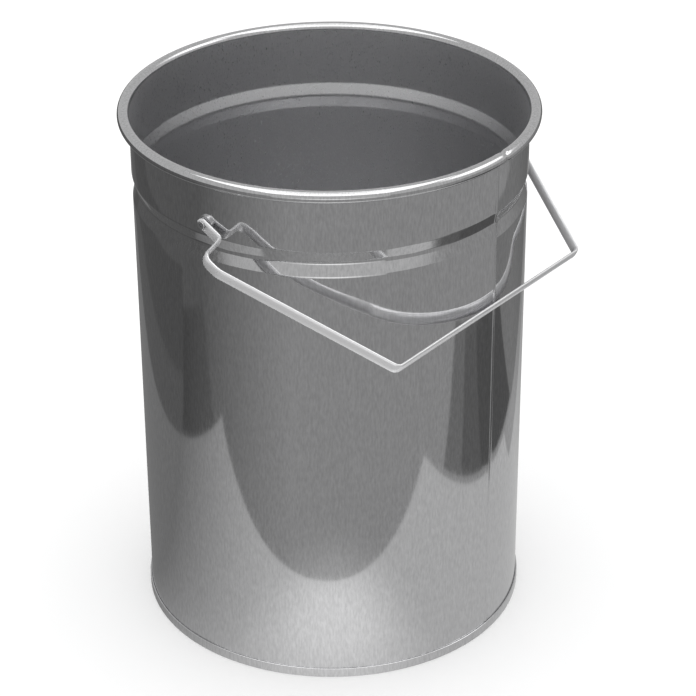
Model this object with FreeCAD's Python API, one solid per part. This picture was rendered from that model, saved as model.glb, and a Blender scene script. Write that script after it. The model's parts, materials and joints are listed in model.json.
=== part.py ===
"""Open tinplate pail with a beaded neck, a double-seamed bottom and a flat strap handle.

Frame: millimetres, +Z up, origin on the can's axis at the floor.  X runs through
the two handle ears.  The handle is at rest, its bar lying against the wall at -Y.
"""
import FreeCAD, Part
import math
import os

Vec = FreeCAD.Vector
UP = Vec(0, 0, 1)
ALONG_X = Vec(1, 0, 0)

# ---- can ----
HEIGHT = 317.0                # floor to the top of the rim curl
RIM_RADIUS = 120.0            # outside of the rim curl
NECK_RADIUS = 113.3           # outside of the straight neck above the bead
WALL_RADIUS_TOP = 113.1       # outside of the wall just under the bead
WALL_RADIUS_BOTTOM = 112.3    # outside of the wall at the bottom seam
SHEET = 0.32                  # tinplate thickness
SAME_POINT = 1e-6             # closer than this, two points are one
CURL_TUCK = 60.0              # degrees the curl turns in past its lowest point

# ---- neck bead: a shallow V pressed inwards ----
BEAD_TOP = 279.0
BEAD_CREST = 271.5
BEAD_BOTTOM = 263.5
BEAD_DEPTH = 2.6
BEAD_BEND = 4.5               # bend radius at its crest and shoulders

# ---- double seam at the bottom ----
SEAM_HEIGHT = 5.8
SEAM_PITCH = 0.35             # sheet thickness plus the gap to the next layer
SEAM_CORNER = 0.5
SEAM_END_GAP = 0.4            # from the tip of each hook to the fold it reaches into
BODY_FOLD_HEIGHT = 1.25       # middle of the sheet at the body's lower fold
COMPOUND_WIDTH = 0.5
COMPOUND_BASE = 0.45
COMPOUND_HEIGHT = 0.5

# ---- bottom panel ----
PANEL_HEIGHT = 7.0            # middle of the sheet above the floor
PANEL_BEND = 1.5
RING_RADII = (100.0, 97.5, 93.5, 91.0)   # raised stiffening ring, outside to inside
RING_RISE = 1.4

# ---- side seam: the lapped edge of the sheet, welded ----
LAP_AZIMUTH = -87.8           # degrees from +X
LAP_WIDTH = 2.6
LAP_THICKNESS = 0.28
LAP_GAP = 0.02
LAP_END_GAP = 0.4             # to the bottom seam below and the rim curl above

# ---- handle strap ----
STRAP_THICKNESS = 2.3
STRAP_WIDTH = 6.8
STRAP_EDGE = 0.5              # rounding of the strap's long edges
PIVOT_Y = -3.8                # the ears sit a little forward of the can's middle
PIVOT_Z = 286.7
TAB_OFFSET = 115.9            # middle of the end tab, from the can's middle plane
TAB_LENGTH = 13.2             # pivot to the first bend
TAB_TIP = STRAP_WIDTH / 2
TIP_ROUNDING = TAB_TIP - 0.1
LEFT_ELBOW = 134.5            # the elbows carry the arms clear of the rim
LEFT_ELBOW_REACH = 17.4       # pivot to the elbow
RIGHT_ELBOW = 131.7
RIGHT_ELBOW_REACH = 16.8
SHOULDER_REACH = 28.8         # pivot to where the left arm turns in towards the bar
BAR_REACH = 128.9             # pivot to the middle of the hand bar
BAR_HALF = 86.3
BAR_SHIFT = -4.3              # the bar sits a little towards the left ear
TAB_BEND = 2.2
LEFT_ELBOW_BEND = 7.0
RIGHT_ELBOW_BEND = 3.2        # bent tighter than the left
SHOULDER_BEND = 14.0
BAR_BEND = 4.5
REST_TILT = 29.3              # degrees below level, with the bar against the wall

# ---- ears: a welded pad that traps the head of a hollow rivet ----
PAD_RADIUS = 4.5
PAD_FACE = 114.45             # outer face of the pad, from the can's middle plane
PAD_GAP = 0.02
POCKET_RADIUS = 2.7
POCKET_DEPTH = 0.55           # under the pad's outer face
RIVET_HEAD_RADIUS = 2.5
RIVET_HEAD_BASE = 113.4
RIVET_RADIUS = 1.5
RIVET_CLEARANCE = 0.1
RIVET_ROLL_RADIUS = 2.4
RIVET_ROLL_BASE = 117.3
RIVET_ROLL_HEIGHT = 0.7
RIVET_BORE = 0.9
RIVET_BORE_DEPTH = 3.2
RIVET_LIP = 0.3               # rounding of the rolled end


def turn_between(before, after):
    """Signed turn in radians from one unit direction to the next, positive to the left."""
    cross = before.x * after.y - before.y * after.x
    dot = before.x * after.x + before.y * after.y
    return math.atan2(cross, dot)


def run_between(start, stop):
    """Straight edge as a one-item list, or an empty list where two bends meet."""
    if (stop - start).Length < SAME_POINT:
        return []
    return [Part.LineSegment(start, stop).toShape()]


def side_edges(points, bends, offset):
    """Lines and arcs running along one side of a bent strip, offset to the left of its middle."""
    edges = []
    start = None
    for i in range(len(points) - 1):
        direction = (points[i + 1] - points[i]).normalize()
        left = Vec(-direction.y, direction.x, 0)
        if start is None:
            start = points[i] + left * offset
        if i + 2 == len(points):
            edges += run_between(start, points[i + 1] + left * offset)
            break
        following = (points[i + 2] - points[i + 1]).normalize()
        turn = turn_between(direction, following)
        bend = bends[i]
        tangent = bend * math.tan(abs(turn) / 2)
        stop = points[i + 1] - direction * tangent + left * offset
        edges += run_between(start, stop)
        towards = left if turn > 0 else left * -1
        centre = points[i + 1] - direction * tangent + towards * bend
        radius = bend - offset if turn > 0 else bend + offset
        halfway = (direction + following).normalize()
        outward = Vec(halfway.y, -halfway.x, 0) if turn > 0 else Vec(-halfway.y, halfway.x, 0)
        next_left = Vec(-following.y, following.x, 0)
        start = points[i + 1] + following * tangent + next_left * offset
        edges.append(Part.Arc(stop, centre + outward * radius, start).toShape())
    return edges


def strip_face(points, bends, thickness):
    """Flat face of a bent strip: its middle runs through the points, with a bend at each inner one."""
    points = [Vec(x, y, 0) for x, y in points]
    left = side_edges(points, bends, thickness / 2)
    right = side_edges(points, bends, -thickness / 2)
    caps = [Part.LineSegment(left[0].firstVertex(True).Point, right[0].firstVertex(True).Point),
            Part.LineSegment(left[-1].lastVertex(True).Point, right[-1].lastVertex(True).Point)]
    edges = left + right + [cap.toShape() for cap in caps]
    return Part.Face(Part.Wire(Part.__sortEdges__(edges)))


def sheet_ring(points, bends, thickness, start_angle=0.0, sweep=360.0):
    """Bent sheet turned about Z, from (radius, height) points along its middle."""
    face = strip_face(points, bends, thickness)
    face.rotate(Vec(0, 0, 0), ALONG_X, 90)
    face.rotate(Vec(0, 0, 0), UP, start_angle)
    return face.revolve(Vec(0, 0, 0), UP, sweep)


def rod(radius, start, length, y=PIVOT_Y, z=PIVOT_Z):
    """Cylinder along +X from the given X."""
    return Part.makeCylinder(radius, length, Vec(start, y, z), ALONG_X)


def wall_points(offset=0.0):
    """Middle of the wall sheet from just above the bottom fold to the bead's top shoulder."""
    half = SHEET / 2
    neck = NECK_RADIUS - half + offset
    return [(WALL_RADIUS_BOTTOM - half + offset, BODY_FOLD_HEIGHT),
            (WALL_RADIUS_TOP - half + offset, BEAD_BOTTOM),
            (neck - BEAD_DEPTH, BEAD_CREST),
            (neck, BEAD_TOP)]


def body_shell():
    """Rolled wall with its bottom hook, the neck bead and the outward curl at the rim."""
    half = SHEET / 2
    neck = NECK_RADIUS - half
    curl = (RIM_RADIUS - neck - half) / 2
    top = HEIGHT - half
    hook = WALL_RADIUS_BOTTOM - half + 2 * SEAM_PITCH
    tuck = math.radians(CURL_TUCK)
    tangent = curl * math.tan(tuck / 2)
    corner = neck + curl - tangent
    low = top - 2 * curl
    points = [(hook, SEAM_HEIGHT - SHEET - SEAM_END_GAP), (hook, BODY_FOLD_HEIGHT)]
    points += wall_points()
    points += [(neck, top),
               (neck + 2 * curl, top),
               (neck + 2 * curl, low),
               (corner, low),
               (corner - tangent * math.cos(tuck), low + tangent * math.sin(tuck))]
    bends = [SEAM_PITCH, SEAM_PITCH, BEAD_BEND, BEAD_BEND, BEAD_BEND, curl, curl, curl, curl]
    return sheet_ring(points, bends, SHEET)


def bottom_end():
    """Pressed bottom: seaming hook, outer seam wall, countersink and ringed panel."""
    middle = WALL_RADIUS_BOTTOM - SHEET / 2
    end_hook = middle + SEAM_PITCH
    outer = middle + 3 * SEAM_PITCH
    chuck_wall = middle - SEAM_PITCH
    top = SEAM_HEIGHT - SHEET / 2
    low = SHEET / 2
    ring_heights = (PANEL_HEIGHT, PANEL_HEIGHT + RING_RISE, PANEL_HEIGHT + RING_RISE, PANEL_HEIGHT)
    points = [(end_hook, BODY_FOLD_HEIGHT + SHEET / 2 + SEAM_END_GAP),
              (end_hook, top),
              (outer, top),
              (outer, low),
              (chuck_wall, low),
              (chuck_wall, PANEL_HEIGHT)]
    points += list(zip(RING_RADII, ring_heights))
    points += [(0.0, PANEL_HEIGHT)]
    bends = [SEAM_PITCH, SEAM_PITCH, SEAM_CORNER, SEAM_CORNER, PANEL_BEND]
    bends += [PANEL_BEND] * len(RING_RADII)
    return sheet_ring(points, bends, SHEET)


def seam_compound():
    """Ring of sealing compound squeezed under the body's fold inside the double seam."""
    middle = WALL_RADIUS_BOTTOM - SHEET / 2 + SEAM_PITCH
    outside = Part.makeCylinder(middle + COMPOUND_WIDTH / 2, COMPOUND_HEIGHT, UP * COMPOUND_BASE)
    inside = Part.makeCylinder(middle - COMPOUND_WIDTH / 2, COMPOUND_HEIGHT, UP * COMPOUND_BASE)
    return outside.cut(inside)


def side_seam_lap():
    """Narrow lapped edge of the rolled sheet, standing proud of the wall over its full height."""
    offset = SHEET / 2 + LAP_GAP + LAP_THICKNESS / 2
    curl_bottom = HEIGHT - (RIM_RADIUS - NECK_RADIUS + SHEET)
    points = wall_points(offset)
    points[0] = (points[0][0], SEAM_HEIGHT + LAP_END_GAP)
    points += [(points[-1][0], curl_bottom - LAP_END_GAP)]
    sweep = math.degrees(LAP_WIDTH / NECK_RADIUS)
    return sheet_ring(points, [BEAD_BEND] * 3, LAP_THICKNESS, LAP_AZIMUTH - sweep / 2, sweep)


def bail_strap():
    """Flat strap handle, bent the easy way and drilled at both end tabs."""
    left = [(-TAB_OFFSET, -TAB_TIP),
            (-TAB_OFFSET, TAB_LENGTH),
            (-LEFT_ELBOW, LEFT_ELBOW_REACH),
            (-LEFT_ELBOW, SHOULDER_REACH)]
    bar = [(BAR_SHIFT - BAR_HALF, BAR_REACH), (BAR_SHIFT + BAR_HALF, BAR_REACH)]
    right = [(RIGHT_ELBOW, RIGHT_ELBOW_REACH), (TAB_OFFSET, TAB_LENGTH), (TAB_OFFSET, -TAB_TIP)]
    bends = [TAB_BEND, LEFT_ELBOW_BEND, SHOULDER_BEND, BAR_BEND]
    bends += [BAR_BEND, RIGHT_ELBOW_BEND, TAB_BEND]
    face = strip_face(left + bar + right, bends, STRAP_THICKNESS)
    face.translate(UP * (-STRAP_WIDTH / 2))
    strap = face.extrude(UP * STRAP_WIDTH)
    tips = [edge for edge in strap.Edges if is_tip_corner(edge)]
    strap = strap.makeFillet(TIP_ROUNDING, tips)
    hole = rod(RIVET_RADIUS + RIVET_CLEARANCE, -LEFT_ELBOW, 2 * LEFT_ELBOW, 0, 0)
    outline = [edge for edge in strap.Edges if is_outline_edge(edge)]
    strap = strap.makeFillet(STRAP_EDGE, outline).cut(hole)
    strap.rotate(Vec(0, 0, 0), ALONG_X, 180 + REST_TILT)
    strap.translate(Vec(0, PIVOT_Y, PIVOT_Z))
    return strap


def is_tip_corner(edge):
    """True for the four short edges across the thickness at the ends of the tabs."""
    box = edge.BoundBox
    at_end = box.YMax < -TAB_TIP / 2 and abs(edge.CenterOfMass.z) > TIP_ROUNDING
    return at_end and box.XLength > STRAP_THICKNESS / 2


def is_outline_edge(edge):
    """True for the edges that run along the strap on its two narrow sides."""
    box = edge.BoundBox
    on_side = box.ZLength < STRAP_EDGE and abs(edge.CenterOfMass.z) > TIP_ROUNDING
    across_tip = box.YMax < 0 and box.XLength > STRAP_THICKNESS / 2
    return on_side and not across_tip


def ear_pad():
    """Welded disc on the right of the wall, with a pocket behind for the rivet's head."""
    pad = rod(PAD_RADIUS, PAD_FACE - PAD_RADIUS, PAD_RADIUS)
    wall = Part.makeCylinder(NECK_RADIUS + PAD_GAP, HEIGHT)
    pocket = rod(POCKET_RADIUS, PAD_FACE - PAD_RADIUS, PAD_RADIUS - POCKET_DEPTH)
    hole = rod(RIVET_RADIUS + RIVET_CLEARANCE, PAD_FACE - PAD_RADIUS, 2 * PAD_RADIUS)
    return pad.cut(wall).cut(pocket).cut(hole)


def ear_rivet():
    """Hollow rivet on the right: flat head in the pad, shank, and end rolled over the tab."""
    head = rod(RIVET_HEAD_RADIUS, RIVET_HEAD_BASE, PAD_FACE - POCKET_DEPTH - RIVET_HEAD_BASE - PAD_GAP)
    tip = RIVET_ROLL_BASE + RIVET_ROLL_HEIGHT
    shank = rod(RIVET_RADIUS, RIVET_HEAD_BASE, tip - RIVET_HEAD_BASE)
    rolled = rod(RIVET_ROLL_RADIUS, RIVET_ROLL_BASE, RIVET_ROLL_HEIGHT)
    rolled = rolled.makeFillet(RIVET_LIP, rolled.Edges)
    bore = rod(RIVET_BORE, tip - RIVET_BORE_DEPTH, RIVET_BORE_DEPTH)
    return head.fuse([shank, rolled]).cut(bore).removeSplitter()


def mirrored(shape):
    """The same piece on the left ear."""
    return shape.mirror(Vec(0, 0, 0), ALONG_X)


def main():
    pad = ear_pad()
    rivet = ear_rivet()
    pieces = {
        "body_shell": body_shell(),
        "side_seam_lap": side_seam_lap(),
        "bottom_end": bottom_end(),
        "seam_compound": seam_compound(),
        "bail_strap": bail_strap(),
        "right_ear_pad": pad,
        "left_ear_pad": mirrored(pad),
        "right_ear_rivet": rivet,
        "left_ear_rivet": mirrored(rivet),
    }
    os.makedirs("parts", exist_ok=True)
    for name, shape in pieces.items():
        shape.exportStep(f"parts/{name}.step")
        box = shape.BoundBox
        print(name, len(shape.Solids), shape.isValid(), round(shape.Volume, 1),
              [round(v, 2) for v in (box.XMin, box.XMax, box.YMin, box.YMax, box.ZMin, box.ZMax)])


main()
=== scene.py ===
"""Looks of the open tinplate pail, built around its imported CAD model.

Metres, in the model's frame: +Z up, X through the two ears, the handle bar at rest
towards -Y.  Sheet-metal pieces are turned about Z from bent-sheet profiles, so that
their mirror finish is smooth; the strap is swept along its bent line.
"""
import bmesh
import bpy
import json
import math
from mathutils import Matrix, Vector, noise


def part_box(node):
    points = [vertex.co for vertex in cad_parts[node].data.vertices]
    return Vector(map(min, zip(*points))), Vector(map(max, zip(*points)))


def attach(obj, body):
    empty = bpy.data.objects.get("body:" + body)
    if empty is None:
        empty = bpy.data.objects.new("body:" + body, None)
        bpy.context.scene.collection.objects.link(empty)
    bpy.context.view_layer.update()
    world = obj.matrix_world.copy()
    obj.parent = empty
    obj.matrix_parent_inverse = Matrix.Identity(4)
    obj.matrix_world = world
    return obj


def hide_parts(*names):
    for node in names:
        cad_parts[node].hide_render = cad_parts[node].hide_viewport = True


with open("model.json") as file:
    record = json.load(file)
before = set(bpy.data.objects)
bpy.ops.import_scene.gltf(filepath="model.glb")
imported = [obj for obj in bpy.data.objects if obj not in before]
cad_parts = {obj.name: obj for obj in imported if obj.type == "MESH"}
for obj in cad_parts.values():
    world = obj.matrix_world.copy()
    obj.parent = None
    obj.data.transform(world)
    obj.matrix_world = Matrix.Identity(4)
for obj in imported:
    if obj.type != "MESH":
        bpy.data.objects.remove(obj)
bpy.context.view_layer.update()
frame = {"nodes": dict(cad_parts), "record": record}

# ---- sizes read from the frame ----
RIM_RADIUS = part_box("body_shell")[1][0]
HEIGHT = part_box("body_shell")[1][2]
JOINT = frame["record"]["behaviour"]["joints"][0]
PIVOT = Vector(JOINT["pos_m"])

# ---- sheet metal, as in the CAD design ----
SHEET = 0.00032
NECK_RADIUS = 0.1133
WALL_RADIUS_TOP = 0.1131
WALL_RADIUS_BOTTOM = 0.1123
CURL_TUCK = math.radians(60)            # turn of the curl's edge, up under the curl
BEAD_TOP = 0.2790
BEAD_CREST = 0.2715
BEAD_BOTTOM = 0.2635
BEAD_DEPTH = 0.0026
BEAD_BEND = 0.0045
SEAM_HEIGHT = 0.0058
SEAM_PITCH = 0.00035
SEAM_CORNER = 0.0005
FOLD_HEIGHT = 0.00125
HOOK_GAP = 0.0004
PANEL_HEIGHT = 0.0070
PANEL_BEND = 0.0015
RING_RADII = (0.1000, 0.0975, 0.0935, 0.0910)
RING_RISE = 0.0014
LAP_AZIMUTH = math.radians(-87.8)
LAP_WIDTH = 0.0026
LAP_THICKNESS = 0.00028
LAP_GAP = 0.00002
LAP_POINTS = 8                          # divisions across its crown
LAP_END_GAP = 0.0004
LAP_CROWN_POWER = 3                     # more is flatter across the middle
LAP_LONGEST = 0.004                     # longest piece of its line

# ---- how the sheet strays from a perfect turning ----
DENT_DEPTH = 0.00010                    # long shallow waves, all of them inwards
DENT_SIZE = 0.055
TRUE_ABOVE = 0.040                      # nearer the top than this, the neck is true for the ears
WAVY_BELOW = 0.060                      # further down, the waves have their full depth
RIPPLE_DEPTH = 0.000012                 # level ripples rolled in above the bottom seam
RIPPLE_PITCH = 0.0075
RIPPLE_TOP = 0.045
CROWN_RISE = 0.00006                    # the wall's swelling beside the lap
CROWN_HALF = math.radians(1.2)
NOTCH_DEPTH = 0.0006                    # dip in the rim curl where the sheet's edges overlap
NOTCH_HALF = math.radians(1.1)
FLAT_SHARE = 0.55                       # share of the bead's depth lost over the lap
FLAT_HALF = math.radians(1.8)
FINE_HALF = math.radians(5)             # stretch beside the lap that is divided finely
FINE_STEP = math.radians(0.2)

# ---- handle strap, as in the CAD design ----
STRAP_THICKNESS = 0.0023
STRAP_WIDTH = 0.0068
TAB_OFFSET = 0.1159
TAB_LENGTH = 0.0132
LEFT_ELBOW = 0.1345
RIGHT_ELBOW = 0.1317
LEFT_ELBOW_REACH = 0.0174
RIGHT_ELBOW_REACH = 0.0168
SHOULDER_REACH = 0.0288
BAR_REACH = 0.1289
BAR_HALF = 0.0863
BAR_SHIFT = -0.0043
TAB_BEND = 0.0022
LEFT_ELBOW_BEND = 0.0070
RIGHT_ELBOW_BEND = 0.0032
SHOULDER_BEND = 0.0140
BAR_BEND = 0.0045
REST_TILT = math.radians(29.3)
RIVET_HOLE = 0.0016                     # radius
STRAP_TURN_STEP = math.radians(6)
STRAP_LONGEST = 0.010
TIP_STEPS = 10                          # divisions of each round tip
TIP_LEAST = 0.02                        # share of the width left at a tip's end
SECTION_POINTS = 40
SECTION_POWER = 2.1                     # 2 is an ellipse, more is boxier

# ---- camera and studio ----
CAMERA_BEARING = math.radians(51.7)     # the camera stands this far round from -Y towards -X
CAMERA_DISTANCE = 1.396                 # from the can's axis, level
CAMERA_HEIGHT = 0.9386
CAMERA_PITCH = math.radians(29.24)
CAMERA_YAW = math.radians(-0.346)
CAMERA_ROLL = math.radians(-0.528)
CAMERA_LENS = 139.5                     # in millimetres, like the sensor's width
SENSOR_WIDTH = 36.0

# ---- how finely the pieces are divided ----
AROUND = 360                            # divisions of a full turn
HOLE_DIVISIONS = 48
SAME_POINT = 1e-7


def bent_line(points, bends, step=math.radians(9)):
    """Points of a polyline whose inner corners are rounded by the given bend radii."""
    points = [Vector(p) for p in points]
    line = [points[0]]
    for corner, before, after, bend in zip(points[1:-1], points, points[2:], bends):
        enter = (corner - before).normalized()
        leave = (after - corner).normalized()
        turn = enter.angle(leave)
        tangent = bend * math.tan(turn / 2)
        centre = corner + (leave - enter).normalized() * math.hypot(bend, tangent)
        count = max(2, math.ceil(turn / step))
        start = corner - enter * tangent - centre
        normal = enter - start * (enter.dot(start) / start.length_squared)
        normal = normal.normalized() * bend
        for i in range(count + 1):
            angle = turn * i / count
            line.append(centre + start * math.cos(angle) + normal * math.sin(angle))
    line.append(points[-1])
    return without_repeats(line)


def without_repeats(line, tolerance=1e-6):
    """The same line with points that repeat the one before left out."""
    kept = [line[0]]
    for point in line[1:]:
        if (point - kept[-1]).length > tolerance:
            kept.append(point)
    return kept


def divided(line, longest):
    """The same line with extra points, so that no piece is longer than given."""
    out = [line[0]]
    for a, b in zip(line, line[1:]):
        count = max(1, math.ceil((b - a).length / longest))
        out += [a.lerp(b, i / count) for i in range(1, count + 1)]
    return out


def offset_line(line, distance):
    """The line moved to its left by a distance."""
    moved = []
    for i, point in enumerate(line):
        before = (point - line[i - 1]).normalized() if i else None
        after = (line[i + 1] - point).normalized() if i + 1 < len(line) else None
        along = before or after
        if before and after:
            along = (before + after).normalized()
        moved.append(point + Vector((-along.y, along.x)) * distance)
    return moved


def sheet_outline(points, bends, thickness=SHEET, longest=0.012):
    """Closed outline of a bent sheet's section, from (radius, height) points along its middle."""
    line = divided(bent_line(points, bends), longest)
    return offset_line(line, thickness / 2) + offset_line(line, -thickness / 2)[::-1]


def add_mesh(name, verts, faces, sharp=math.radians(35)):
    """Smooth-shaded mesh object, creased where faces meet at more than the sharp angle."""
    mesh = bpy.data.meshes.new(name)
    mesh.from_pydata([tuple(v) for v in verts], [], faces)
    shape = bmesh.new()
    shape.from_mesh(mesh)
    bmesh.ops.remove_doubles(shape, verts=shape.verts, dist=SAME_POINT)
    bmesh.ops.recalc_face_normals(shape, faces=shape.faces)
    shape.to_mesh(mesh)
    shape.free()
    piece = bpy.data.objects.new(name, mesh)
    bpy.context.collection.objects.link(piece)
    for polygon in mesh.polygons:
        polygon.use_smooth = True
    mesh.set_sharp_from_angle(angle=sharp)
    return piece


def turn_angles():
    """Angles of the turned pieces' divisions: even all round, and finer beside the lap."""
    around = FINE_HALF
    angles = []
    while around < 2 * math.pi - FINE_HALF:
        angles.append(LAP_AZIMUTH + around)
        around += 2 * math.pi / AROUND
    fine = round(2 * FINE_HALF / FINE_STEP)
    angles += [LAP_AZIMUTH - FINE_HALF + FINE_STEP * i for i in range(fine)]
    return angles


def ring_faces(rings, count, closed=False):
    """Faces between rings of points: capped at both ends, or closed into a full turn."""
    faces = []
    if not closed:
        faces = [tuple(range(count)), tuple(range((rings - 1) * count, rings * count))[::-1]]
    for i in range(rings if closed else rings - 1):
        here = i * count
        after = (i + 1) % rings * count
        for j in range(count):
            k = (j + 1) % count
            faces.append((here + j, here + k, after + k, after + j))
    return faces


def turned(name, outline, shape=None):
    """Closed outline turned a full turn about Z; shape(radius, angle, height) may adjust a point."""
    verts = []
    angles = turn_angles()
    for angle in angles:
        for radius, height in outline:
            if shape:
                radius, height = shape(radius, angle, height)
            verts.append((radius * math.cos(angle), radius * math.sin(angle), height))
    return add_mesh(name, verts, ring_faces(len(angles), len(outline), closed=True))


# ---- pieces of the can ----
def wall_points(offset=0.0):
    """Middle of the wall sheet, from the bottom fold to the bead's top, moved out by an offset."""
    half = SHEET / 2
    neck = NECK_RADIUS - half + offset
    return [(WALL_RADIUS_BOTTOM - half + offset, FOLD_HEIGHT),
            (WALL_RADIUS_TOP - half + offset, BEAD_BOTTOM),
            (neck - BEAD_DEPTH, BEAD_CREST),
            (neck, BEAD_TOP)]


def body_outline():
    """Section of the wall sheet: bottom hook, wall, bead, neck and the curl at the rim."""
    half = SHEET / 2
    neck = NECK_RADIUS - half
    curl = (RIM_RADIUS - neck - half) / 2
    top = HEIGHT - half
    hook = WALL_RADIUS_BOTTOM - half + 2 * SEAM_PITCH
    tangent = curl * math.tan(CURL_TUCK / 2)
    corner = neck + curl - tangent
    low = top - 2 * curl
    points = [(hook, SEAM_HEIGHT - SHEET - HOOK_GAP), (hook, FOLD_HEIGHT)]
    points += wall_points()
    points += [(neck, top), (neck + 2 * curl, top), (neck + 2 * curl, low), (corner, low),
               (corner - tangent * math.cos(CURL_TUCK), low + tangent * math.sin(CURL_TUCK))]
    bends = [SEAM_PITCH, SEAM_PITCH, BEAD_BEND, BEAD_BEND, BEAD_BEND, curl, curl, curl, curl]
    return sheet_outline(points, bends)


def near_lap(angle, half):
    """1 at the lap's middle, falling smoothly towards 0 a few half-widths to either side."""
    away = (angle - LAP_AZIMUTH + math.pi) % (2 * math.pi) - math.pi
    return math.exp(-(away / half) ** 2)


def fade(value, low, high):
    """0 at low, 1 at high, smooth between."""
    t = min(1.0, max(0.0, (value - low) / (high - low)))
    return t * t * (3 - 2 * t)


def strayed(radius, angle, height):
    """A point of the wall as the real sheet has it: faint dents, ripples, flat bead and notch."""
    free = fade(height, SEAM_HEIGHT, 4 * SEAM_HEIGHT) * fade(HEIGHT - height, TRUE_ABOVE, WAVY_BELOW)
    spot = Vector((math.cos(angle), math.sin(angle), height / WALL_RADIUS_TOP)) * WALL_RADIUS_TOP
    radius += (noise.noise(spot / DENT_SIZE) - 1.0) * DENT_DEPTH * free
    radius += (CROWN_RISE * near_lap(angle, CROWN_HALF) - CROWN_RISE) * free
    ripple = fade(height, SEAM_HEIGHT, 2 * SEAM_HEIGHT) * (1 - fade(height, RIPPLE_TOP / 2, RIPPLE_TOP))
    radius -= RIPPLE_DEPTH * (1 + math.sin(2 * math.pi * height / RIPPLE_PITCH)) * ripple
    if BEAD_BOTTOM < height < BEAD_TOP:
        side = BEAD_CREST - BEAD_BOTTOM if height < BEAD_CREST else BEAD_TOP - BEAD_CREST
        depth = BEAD_DEPTH * (1 - abs(height - BEAD_CREST) / side)
        radius += depth * FLAT_SHARE * near_lap(angle, FLAT_HALF)
    curl_base = HEIGHT - (RIM_RADIUS - NECK_RADIUS)
    if height > curl_base and radius > NECK_RADIUS:
        share = (radius - NECK_RADIUS) / (RIM_RADIUS - NECK_RADIUS)
        radius -= NOTCH_DEPTH * share * near_lap(angle, NOTCH_HALF)
        height -= NOTCH_DEPTH * fade(height, curl_base, HEIGHT) * near_lap(angle, NOTCH_HALF)
    return radius, height


def make_body(outside, inside):
    """Wall, bead and rim curl; faces that look at the axis, up to mid-curl, have the inside finish."""
    piece = turned("pail_wall", body_outline(), strayed)
    dress(piece, outside, inside)
    under_curl = HEIGHT - (RIM_RADIUS - NECK_RADIUS) / 2
    for face in piece.data.polygons:
        inward = face.normal.x * face.center.x + face.normal.y * face.center.y < 0
        face.material_index = int(inward and face.center.z < under_curl)
    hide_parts("body_shell")
    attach(piece, "can")
    return piece


def lap_ring(radius, height):
    """Points of the lap's section at one height: its crown, then back along its buried side."""
    shares = [-1 + 2 * i / LAP_POINTS for i in range(LAP_POINTS + 1)]
    sides = [(share, LAP_THICKNESS * (1 - abs(share) ** LAP_CROWN_POWER)) for share in shares]
    sides += [(share, -SHEET / 2) for share in shares[::-1]]
    ring = []
    for share, proud in sides:
        angle = LAP_AZIMUTH + share * LAP_WIDTH / 2 / NECK_RADIUS
        spot, level = strayed(radius, angle, height)
        ring.append(((spot + proud) * math.cos(angle), (spot + proud) * math.sin(angle), level))
    return ring


def make_lap(material):
    """Crowned lapped edge of the sheet, standing proud of the wall over its full height."""
    curl_bottom = HEIGHT - (RIM_RADIUS - NECK_RADIUS + SHEET)
    points = wall_points(SHEET / 2 + LAP_GAP)
    points[0] = (points[0][0], SEAM_HEIGHT + LAP_END_GAP)
    points.append((points[-1][0], curl_bottom - LAP_END_GAP))
    bends = [BEAD_BEND] * (len(points) - 2)
    line = divided(bent_line(points, bends), LAP_LONGEST)
    rings = [lap_ring(radius, height) for radius, height in line]
    verts = [point for ring in rings for point in ring]
    piece = add_mesh("side_lap", verts, ring_faces(len(rings), len(rings[0])))
    dress(piece, material)
    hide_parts("side_seam_lap")
    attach(piece, "can")
    return piece


def make_bottom(outside, inside):
    """Bottom with its hook in the double seam and a raised ring; its panel has the inside finish."""
    middle = WALL_RADIUS_BOTTOM - SHEET / 2
    top = SEAM_HEIGHT - SHEET / 2
    low = SHEET / 2
    rings = (PANEL_HEIGHT, PANEL_HEIGHT + RING_RISE, PANEL_HEIGHT + RING_RISE, PANEL_HEIGHT)
    points = [(middle + SEAM_PITCH, FOLD_HEIGHT + SHEET / 2 + HOOK_GAP),
              (middle + SEAM_PITCH, top),
              (middle + 3 * SEAM_PITCH, top),
              (middle + 3 * SEAM_PITCH, low),
              (middle - SEAM_PITCH, low),
              (middle - SEAM_PITCH, PANEL_HEIGHT)]
    points += list(zip(RING_RADII, rings)) + [(0.0, PANEL_HEIGHT)]
    bends = [SEAM_PITCH, SEAM_PITCH, SEAM_CORNER, SEAM_CORNER] + [PANEL_BEND] * (1 + len(RING_RADII))
    piece = turned("pail_bottom", sheet_outline(points, bends))
    dress(piece, outside, inside)
    for face in piece.data.polygons:
        from_axis = math.hypot(face.center.x, face.center.y)
        face.material_index = int(from_axis < middle - 2 * SEAM_PITCH)
    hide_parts("bottom_end")
    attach(piece, "can")
    return piece


def strap_section():
    """Section of the strap as a closed loop of (across, out) points: crowned faces, round edges."""
    loop = []
    for i in range(SECTION_POINTS):
        angle = 2 * math.pi * i / SECTION_POINTS
        c, s = math.cos(angle), math.sin(angle)
        across = math.copysign(abs(c) ** (2 / SECTION_POWER), c)
        out = math.copysign(abs(s) ** (2 / SECTION_POWER), s)
        loop.append((across * STRAP_WIDTH / 2, out * STRAP_THICKNESS / 2))
    return loop


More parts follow.
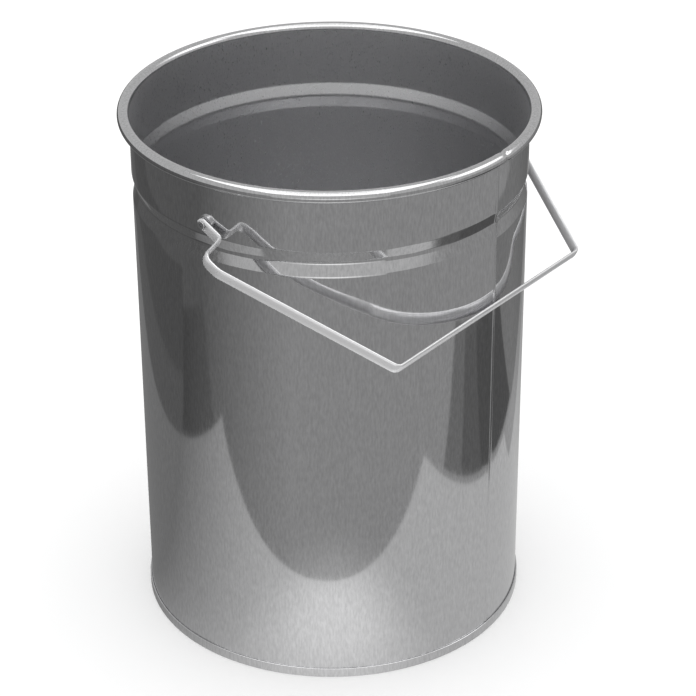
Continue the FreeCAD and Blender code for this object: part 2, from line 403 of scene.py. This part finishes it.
def drill(piece, radius, half_length):
    """Cuts a round hole along X, on the handle's pivot, right through the piece."""
    angles = [2 * math.pi * i / HOLE_DIVISIONS for i in range(HOLE_DIVISIONS)]
    ring = [(radius * math.cos(angle), radius * math.sin(angle)) for angle in angles]
    verts = [(x, PIVOT.y + y, PIVOT.z + z) for x in (-half_length, half_length) for y, z in ring]
    drill_bit = add_mesh("drill_bit", verts, ring_faces(2, HOLE_DIVISIONS))
    cut = piece.modifiers.new("hole", "BOOLEAN")
    cut.operation = "DIFFERENCE"
    cut.solver = "EXACT"
    cut.object = drill_bit
    shape = piece.evaluated_get(bpy.context.evaluated_depsgraph_get())
    drilled = bpy.data.meshes.new_from_object(shape)
    piece.modifiers.clear()
    piece.data = drilled
    bpy.data.objects.remove(drill_bit)


def strap_line():
    """Middle line of the flat-lying strap: across the can, and reach from the pivot."""
    left = [(-TAB_OFFSET, 0.0), (-TAB_OFFSET, TAB_LENGTH), (-LEFT_ELBOW, LEFT_ELBOW_REACH),
            (-LEFT_ELBOW, SHOULDER_REACH)]
    bar = [(BAR_SHIFT - BAR_HALF, BAR_REACH), (BAR_SHIFT + BAR_HALF, BAR_REACH)]
    right = [(RIGHT_ELBOW, RIGHT_ELBOW_REACH), (TAB_OFFSET, TAB_LENGTH), (TAB_OFFSET, 0.0)]
    bends = [TAB_BEND, LEFT_ELBOW_BEND, SHOULDER_BEND, BAR_BEND]
    bends += [BAR_BEND, RIGHT_ELBOW_BEND, TAB_BEND]
    return divided(bent_line(left + bar + right, bends, STRAP_TURN_STEP), STRAP_LONGEST)


def tip_stations(end, inner):
    """Places past the line's end, with the share of the width there, that make a round tip."""
    outward = (end - inner).normalized() * (STRAP_WIDTH / 2)
    turns = [math.pi / 2 * (i / TIP_STEPS) for i in range(1, TIP_STEPS + 1)]
    return [(end + outward * math.sin(turn), max(math.cos(turn), TIP_LEAST)) for turn in turns]


def strap_stations():
    """Places along the strap from tip to tip, each with its share of the full width."""
    line = strap_line()
    ahead = tip_stations(line[0], line[1])
    behind = tip_stations(line[-1], line[-2])
    return ahead[::-1] + [(point, 1.0) for point in line] + behind


def store_lengthwise(piece, stations, section):
    """Stores each point's place along the strap, for a grain that follows its bends.

    The tips keep some width, so no points have merged and they are still in sweep order.
    """
    grain = piece.data.attributes.new("lengthwise", "FLOAT_VECTOR", "POINT")
    length = 0.0
    for i, (point, _) in enumerate(stations):
        length += (point - stations[max(i - 1, 0)][0]).length
        for j, (across, out) in enumerate(section):
            grain.data[i * len(section) + j].vector = (across, out, length)


def make_strap(material):
    """Strap swept along its line at rest, with round tips and a hole for each rivet."""
    stations = strap_stations()
    section = strap_section()
    to_rest = Matrix.Translation(PIVOT) @ Matrix.Rotation(math.pi + REST_TILT, 4, "X")
    verts = []
    for i, (point, width) in enumerate(stations):
        before = stations[max(i - 1, 0)][0]
        after = stations[min(i + 1, len(stations) - 1)][0]
        along = (after - before).normalized()
        side = Vector((-along.y, along.x))
        for across, out in section:
            spot = point + side * out
            verts.append(to_rest @ Vector((spot.x, spot.y, across * width)))
    piece = add_mesh("handle_strap", verts, ring_faces(len(stations), len(section)))
    store_lengthwise(piece, stations, section)
    drill(piece, RIVET_HOLE, LEFT_ELBOW)
    dress(piece, material)
    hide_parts("bail_strap")
    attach(piece, "bail")
    return piece


# ---- materials ----
NOISE_DETAIL = 3.0
NOISE_LOW = 0.3                         # most of a noise's values lie between these two
NOISE_HIGH = 0.7
BLUE_CAST = 1.01                        # tin's blue against its red and green
ROUGHNESS_SPREAD = 0.2
GRAIN_HEIGHT = 0.0002
COMPOUND_GRAIN = 400.0
COMPOUND_DARK = (0.40, 0.37, 0.31, 1)
COMPOUND_LIGHT = (0.50, 0.47, 0.40, 1)
COMPOUND_ROUGHNESS = 0.8


def new_material(name):
    """Returns a new node material, its tree and its main shader."""
    material = bpy.data.materials.new(name)
    material.use_nodes = True
    tree = material.node_tree
    return material, tree, tree.nodes["Principled BSDF"]


def link_noise(tree, stretch, scale, attribute=None):
    """Noise over the piece's own coordinates, or over a stored one, stretched along Z."""
    place = tree.nodes.new("ShaderNodeAttribute" if attribute else "ShaderNodeTexCoord")
    if attribute:
        place.attribute_name = attribute
    mapping = tree.nodes.new("ShaderNodeMapping")
    mapping.inputs["Scale"].default_value = (1, 1, 1 / stretch)
    texture = tree.nodes.new("ShaderNodeTexNoise")
    texture.inputs["Scale"].default_value = scale
    texture.inputs["Detail"].default_value = NOISE_DETAIL
    tree.links.new(place.outputs["Vector" if attribute else "Object"], mapping.inputs["Vector"])
    tree.links.new(mapping.outputs["Vector"], texture.inputs["Vector"])
    return texture.outputs["Fac"]


def mapped(tree, source, low, high, start=0.0, end=1.0, easing="LINEAR"):
    """Carries the source's range, start to end, over to low to high, clamped."""
    node = tree.nodes.new("ShaderNodeMapRange")
    node.interpolation_type = easing
    node.inputs["From Min"].default_value = start
    node.inputs["From Max"].default_value = end
    node.inputs["To Min"].default_value = low
    node.inputs["To Max"].default_value = high
    tree.links.new(source, node.inputs["Value"])
    return node.outputs["Result"]


def blended(tree, factor, dark, light):
    """Mixes two colours by a factor."""
    node = tree.nodes.new("ShaderNodeMix")
    node.data_type = "RGBA"
    node.inputs["A"].default_value = dark
    node.inputs["B"].default_value = light
    tree.links.new(factor, node.inputs["Factor"])
    return node.outputs["Result"]


def metal(name, grey, roughness, stretch=4.0, grain=900.0, bump=0.003, contrast=0.10, shine=1.0,
          attribute=None):
    """Tinned or plated steel: mirror-like, with a fine grain along Z or along the stored direction."""
    material, tree, shader = new_material(name)
    shader.inputs["Metallic"].default_value = shine
    fine = link_noise(tree, stretch, grain, attribute)
    dark = grey * (1 - contrast)
    light = grey * (1 + contrast)
    factor = mapped(tree, fine, 0.0, 1.0, NOISE_LOW, NOISE_HIGH)
    tint = blended(tree, factor, (dark, dark, dark * BLUE_CAST, 1), (light, light, light * BLUE_CAST, 1))
    tree.links.new(tint, shader.inputs["Base Color"])
    smooth = roughness * (1 - ROUGHNESS_SPREAD)
    rough = roughness * (1 + ROUGHNESS_SPREAD)
    unevenness = mapped(tree, fine, smooth, rough, NOISE_LOW, NOISE_HIGH)
    tree.links.new(unevenness, shader.inputs["Roughness"])
    relief = tree.nodes.new("ShaderNodeBump")
    relief.inputs["Strength"].default_value = bump
    relief.inputs["Distance"].default_value = GRAIN_HEIGHT
    tree.links.new(fine, relief.inputs["Height"])
    tree.links.new(relief.outputs["Normal"], shader.inputs["Normal"])
    return material


def sealing_compound():
    """Matt rubbery compound with a faint uneven tone."""
    material, tree, shader = new_material("compound")
    uneven = link_noise(tree, 1.0, COMPOUND_GRAIN)
    tint = blended(tree, uneven, COMPOUND_DARK, COMPOUND_LIGHT)
    tree.links.new(tint, shader.inputs["Base Color"])
    shader.inputs["Roughness"].default_value = COMPOUND_ROUGHNESS
    return material


def dress(piece, *materials):
    """Gives the piece these materials only."""
    piece.data.materials.clear()
    for material in materials:
        piece.data.materials.append(material)


# ---- studio ----
# Studio axes: X to the camera's right, Y away from the camera, Z up.
STUDIO = Matrix.Rotation(-CAMERA_BEARING, 4, "Z")
SKY = 0.56                              # light of the plain surroundings, as the metal mirrors it
LIT_SIDE = (0.707, -0.707, 0.0)         # the table is brightest on this side of the can
SIDE_GAIN = 0.76
SIDE_LEAST = 0.40
SIDE_MOST = 1.10
SURROUNDINGS = 1.25                     # light of the room on the floor
POOL_CENTRE = (0.0, -0.17, 0.0)
POOL_REACH = 0.125
POOL_GAIN = 0.7
LOWEST_CARD = -0.0020
CARD_STEP = 0.0002
CEILING_HALF = 1.6
CEILING_NEAR = -2.4
CEILING_FAR = 0.75
CEILING_HEIGHT = 2.5
CEILING_REACH = (1.0, 1.0, 1.0)
CEILING_LIGHT = 1.05                    # straight over the can
CEILING_EDGE_LIGHT = 1.7
STRIP_HALF = 0.33
STRIP_LOW = 0.08
STRIP_HIGH = 0.27
STRIP_Y = -0.62
STRIP_LIGHT = 1.3
WINDOW_CORNERS = ((2.2, -1.0, 0.9), (1.5, 1.5, 0.9), (1.1, 1.2, 2.6), (1.7, -1.0, 2.6))
WINDOW_MIDDLE = (1.62, 0.18, 1.75)
WINDOW_REACH = (0.9, 1.3, 0.9)
WINDOW_LIGHT = 2.6
FLOOR_HALF = 6.0
FLOOR_WHITE = 0.95
FLOOR_ROUGHNESS = 0.9
MIRROR_BOUNCES = 24
# Each sheet: name, left, right, near, far, turn in degrees, light, and the share of that light
# that is left where the sheet lies square to the lit side.
SHEETS = (("table", -4.0, 4.0, -4.0, 4.0, 0.0, 0.30, 0.78),
          ("table_far_left", -0.575, -0.400, -0.02, 4.0, 0.0, 0.24, 0.9),
          ("table_edge", -0.500, -0.325, -0.160, -0.020, 0.0, 0.20, 0.9),
          ("paper", -0.315, 0.262, -0.212, 0.60, -3.5, 0.50, 0.92),
          ("paper_behind", 0.215, 0.262, 0.10, 0.60, -3.5, 0.34, 0.92),
          ("table_behind", 0.262, 0.600, 0.160, 0.60, -3.5, 0.20, 0.92),
          ("block_front", 0.270, 0.480, -0.145, -0.085, -3.5, 0.17, 0.9),
          ("block_middle", 0.270, 0.480, -0.085, -0.015, -3.5, 0.12, 0.9),
          ("block_back", 0.270, 0.480, -0.015, 0.160, -3.5, 0.09, 0.9))


def new_glow(name, radiance):
    """Even light; returns the material, its node tree and the emission node."""
    material = bpy.data.materials.new(name)
    material.use_nodes = True
    tree = material.node_tree
    tree.nodes.clear()
    out = tree.nodes.new("ShaderNodeOutputMaterial")
    light = tree.nodes.new("ShaderNodeEmission")
    light.inputs["Strength"].default_value = radiance
    tree.links.new(light.outputs["Emission"], out.inputs["Surface"])
    return material, tree, light


def calculated(tree, operation, *values):
    """Math node over sockets and numbers; returns its output."""
    node = tree.nodes.new("ShaderNodeMath")
    node.operation = operation
    for socket, value in zip(node.inputs, values):
        if isinstance(value, (int, float)):
            socket.default_value = value
        else:
            tree.links.new(value, socket)
    return node.outputs["Value"]


def vector_step(tree, operation, source, other=None, output="Vector"):
    """Vector-math node over a socket and a fixed vector; returns the output of that name."""
    node = tree.nodes.new("ShaderNodeVectorMath")
    node.operation = operation
    tree.links.new(source, node.inputs[0])
    if other is not None:
        node.inputs[1].default_value = other
    return node.outputs[output]


def table_light(name, radiance, level):
    """Light of a surface on the table: a pool in front of the can, and a fall away from its lit side."""
    material, tree, light = new_glow(name, radiance)
    place = tree.nodes.new("ShaderNodeTexCoord").outputs["Object"]
    bearing = vector_step(tree, "NORMALIZE", place)
    facing = vector_step(tree, "DOT_PRODUCT", bearing, LIT_SIDE, "Value")
    away = vector_step(tree, "DISTANCE", place, POOL_CENTRE, "Value")
    pool = mapped(tree, away, POOL_GAIN, 0.0, end=POOL_REACH, easing="SMOOTHERSTEP")
    side = calculated(tree, "MULTIPLY_ADD", facing, SIDE_GAIN, level)
    side = calculated(tree, "MINIMUM", calculated(tree, "MAXIMUM", side, SIDE_LEAST), SIDE_MOST)
    total = calculated(tree, "ADD", side, pool)
    tree.links.new(calculated(tree, "MULTIPLY", total, radiance), light.inputs["Strength"])
    return material


def soft_light(name, radiance, centre, reach, edge=SKY):
    """Light that changes smoothly from its centre to its edge, a reach away along each axis."""
    material, tree, light = new_glow(name, radiance)
    place = tree.nodes.new("ShaderNodeTexCoord").outputs["Object"]
    away = vector_step(tree, "SUBTRACT", place, centre)
    share = vector_step(tree, "DIVIDE", away, reach)
    length = vector_step(tree, "LENGTH", share, output="Value")
    fading = mapped(tree, length, radiance, edge, easing="SMOOTHSTEP")
    tree.links.new(fading, light.inputs["Strength"])
    return material


def card(name, verts, material):
    """Flat four-cornered studio card that shows only in reflections."""
    mesh = bpy.data.meshes.new(name)
    mesh.from_pydata(verts, [], [(0, 1, 2, 3)])
    mesh.materials.append(material)
    piece = bpy.data.objects.new(name, mesh)
    piece.matrix_world = STUDIO
    bpy.context.collection.objects.link(piece)
    piece.visible_camera = False
    piece.visible_diffuse = False
    piece.visible_shadow = False


def rectangle(x0, x1, y0, y1, height, turn=0.0):
    """Corners of a level rectangle, turned about the can."""
    c, s = math.cos(turn), math.sin(turn)
    corners = ((x0, y0), (x1, y0), (x1, y1), (x0, y1))
    return [(x * c - y * s, x * s + y * c, height) for x, y in corners]


def make_table_cards():
    """The darker table and the sheets of paper that the can's wall mirrors."""
    for layer, (name, x0, x1, y0, y1, turn, radiance, level) in enumerate(SHEETS):
        height = LOWEST_CARD + layer * CARD_STEP
        verts = rectangle(x0, x1, y0, y1, height, math.radians(turn))
        card("card_" + name, verts, table_light("light_" + name, radiance, level))


def make_ceiling():
    """Bright ceiling over and before the can, dimmer straight overhead."""
    verts = rectangle(-CEILING_HALF, CEILING_HALF, CEILING_NEAR, CEILING_FAR, CEILING_HEIGHT)
    overhead = (0.0, 0.0, CEILING_HEIGHT)
    light = soft_light("light_ceiling", CEILING_LIGHT, overhead, CEILING_REACH, CEILING_EDGE_LIGHT)
    card("card_ceiling", verts, light)


def make_strip():
    """Low upright strip of light in front of the can."""
    corners = ((-STRIP_HALF, STRIP_LOW), (STRIP_HALF, STRIP_LOW),
               (STRIP_HALF, STRIP_HIGH), (-STRIP_HALF, STRIP_HIGH))
    middle = (0.0, STRIP_Y, (STRIP_LOW + STRIP_HIGH) / 2)
    reach = (STRIP_HALF, 1.0, (STRIP_HIGH - STRIP_LOW) / 2)
    light = soft_light("light_strip", STRIP_LIGHT, middle, reach)
    card("card_strip", [(x, STRIP_Y, z) for x, z in corners], light)


def make_window():
    """Bright window on the right."""
    light = soft_light("light_window", WINDOW_LIGHT, WINDOW_MIDDLE, WINDOW_REACH)
    card("card_window", WINDOW_CORNERS, light)


def make_floor():
    """Plain pale floor, which the metal doesn't mirror."""
    mesh = bpy.data.meshes.new("floor")
    verts = rectangle(-FLOOR_HALF, FLOOR_HALF, -FLOOR_HALF, FLOOR_HALF, 0.0)
    mesh.from_pydata(verts, [], [(0, 1, 2, 3)])
    piece = bpy.data.objects.new("floor", mesh)
    bpy.context.collection.objects.link(piece)
    material, _, shader = new_material("floor")
    shader.inputs["Base Color"].default_value = (FLOOR_WHITE, FLOOR_WHITE, FLOOR_WHITE, 1)
    shader.inputs["Roughness"].default_value = FLOOR_ROUGHNESS
    shader.inputs["Specular IOR Level"].default_value = 0.0
    dress(piece, material)
    piece.visible_glossy = False


def make_world():
    """White light all round, toned down where the metal mirrors it."""
    world = bpy.data.worlds.new("studio")
    bpy.context.scene.world = world
    world.use_nodes = True
    tree = world.node_tree
    path = tree.nodes.new("ShaderNodeLightPath")
    mirrored = path.outputs["Is Glossy Ray"]
    strength = calculated(tree, "MULTIPLY_ADD", mirrored, SKY - SURROUNDINGS, SURROUNDINGS)
    back = tree.nodes["Background"]
    back.inputs["Color"].default_value = (1, 1, 1, 1)
    tree.links.new(strength, back.inputs["Strength"])


def make_camera():
    """Camera before the can and above it, looking down at it."""
    camera = bpy.data.objects.new("camera", bpy.data.cameras.new("camera"))
    bpy.context.collection.objects.link(camera)
    camera.data.lens = CAMERA_LENS
    camera.data.sensor_width = SENSOR_WIDTH
    camera.location = STUDIO @ Vector((0, -CAMERA_DISTANCE, CAMERA_HEIGHT))
    camera.rotation_mode = "QUATERNION"
    turn = (STUDIO @ Matrix.Rotation(math.pi / 2 - CAMERA_PITCH, 4, "X")
            @ Matrix.Rotation(CAMERA_YAW, 4, "Y") @ Matrix.Rotation(CAMERA_ROLL, 4, "Z"))
    camera.rotation_quaternion = turn.to_quaternion()
    bpy.context.scene.camera = camera


make_camera()
make_world()
make_floor()
make_table_cards()
make_ceiling()
make_strip()
make_window()
tinplate = metal("tinplate", grey=0.66, roughness=0.07)
inside = metal("tinplate_inside", grey=0.76, roughness=0.32, stretch=2.5, grain=1500.0, bump=0.001,
               contrast=0.05)
ear_steel = metal("ear_steel", grey=0.74, roughness=0.22, stretch=1.0, grain=2500.0, contrast=0.05)
weld_lap = metal("weld_lap", grey=0.66, roughness=0.16, stretch=6.0, grain=1200.0)
strap_steel = metal("strap_steel", grey=0.88, roughness=0.28, stretch=60.0, grain=2200.0, contrast=0.04,
                    shine=0.75, attribute="lengthwise")
make_body(tinplate, inside)
make_bottom(tinplate, inside)
make_lap(weld_lap)
make_strap(strap_steel)
for node in ("left_ear_pad", "right_ear_pad", "left_ear_rivet", "right_ear_rivet"):
    dress(frame["nodes"][node], ear_steel)
dress(frame["nodes"]["seam_compound"], sealing_compound())
bpy.context.scene.view_settings.view_transform = "Standard"
bpy.context.scene.cycles.max_bounces = MIRROR_BOUNCES
bpy.context.scene.cycles.glossy_bounces = MIRROR_BOUNCES
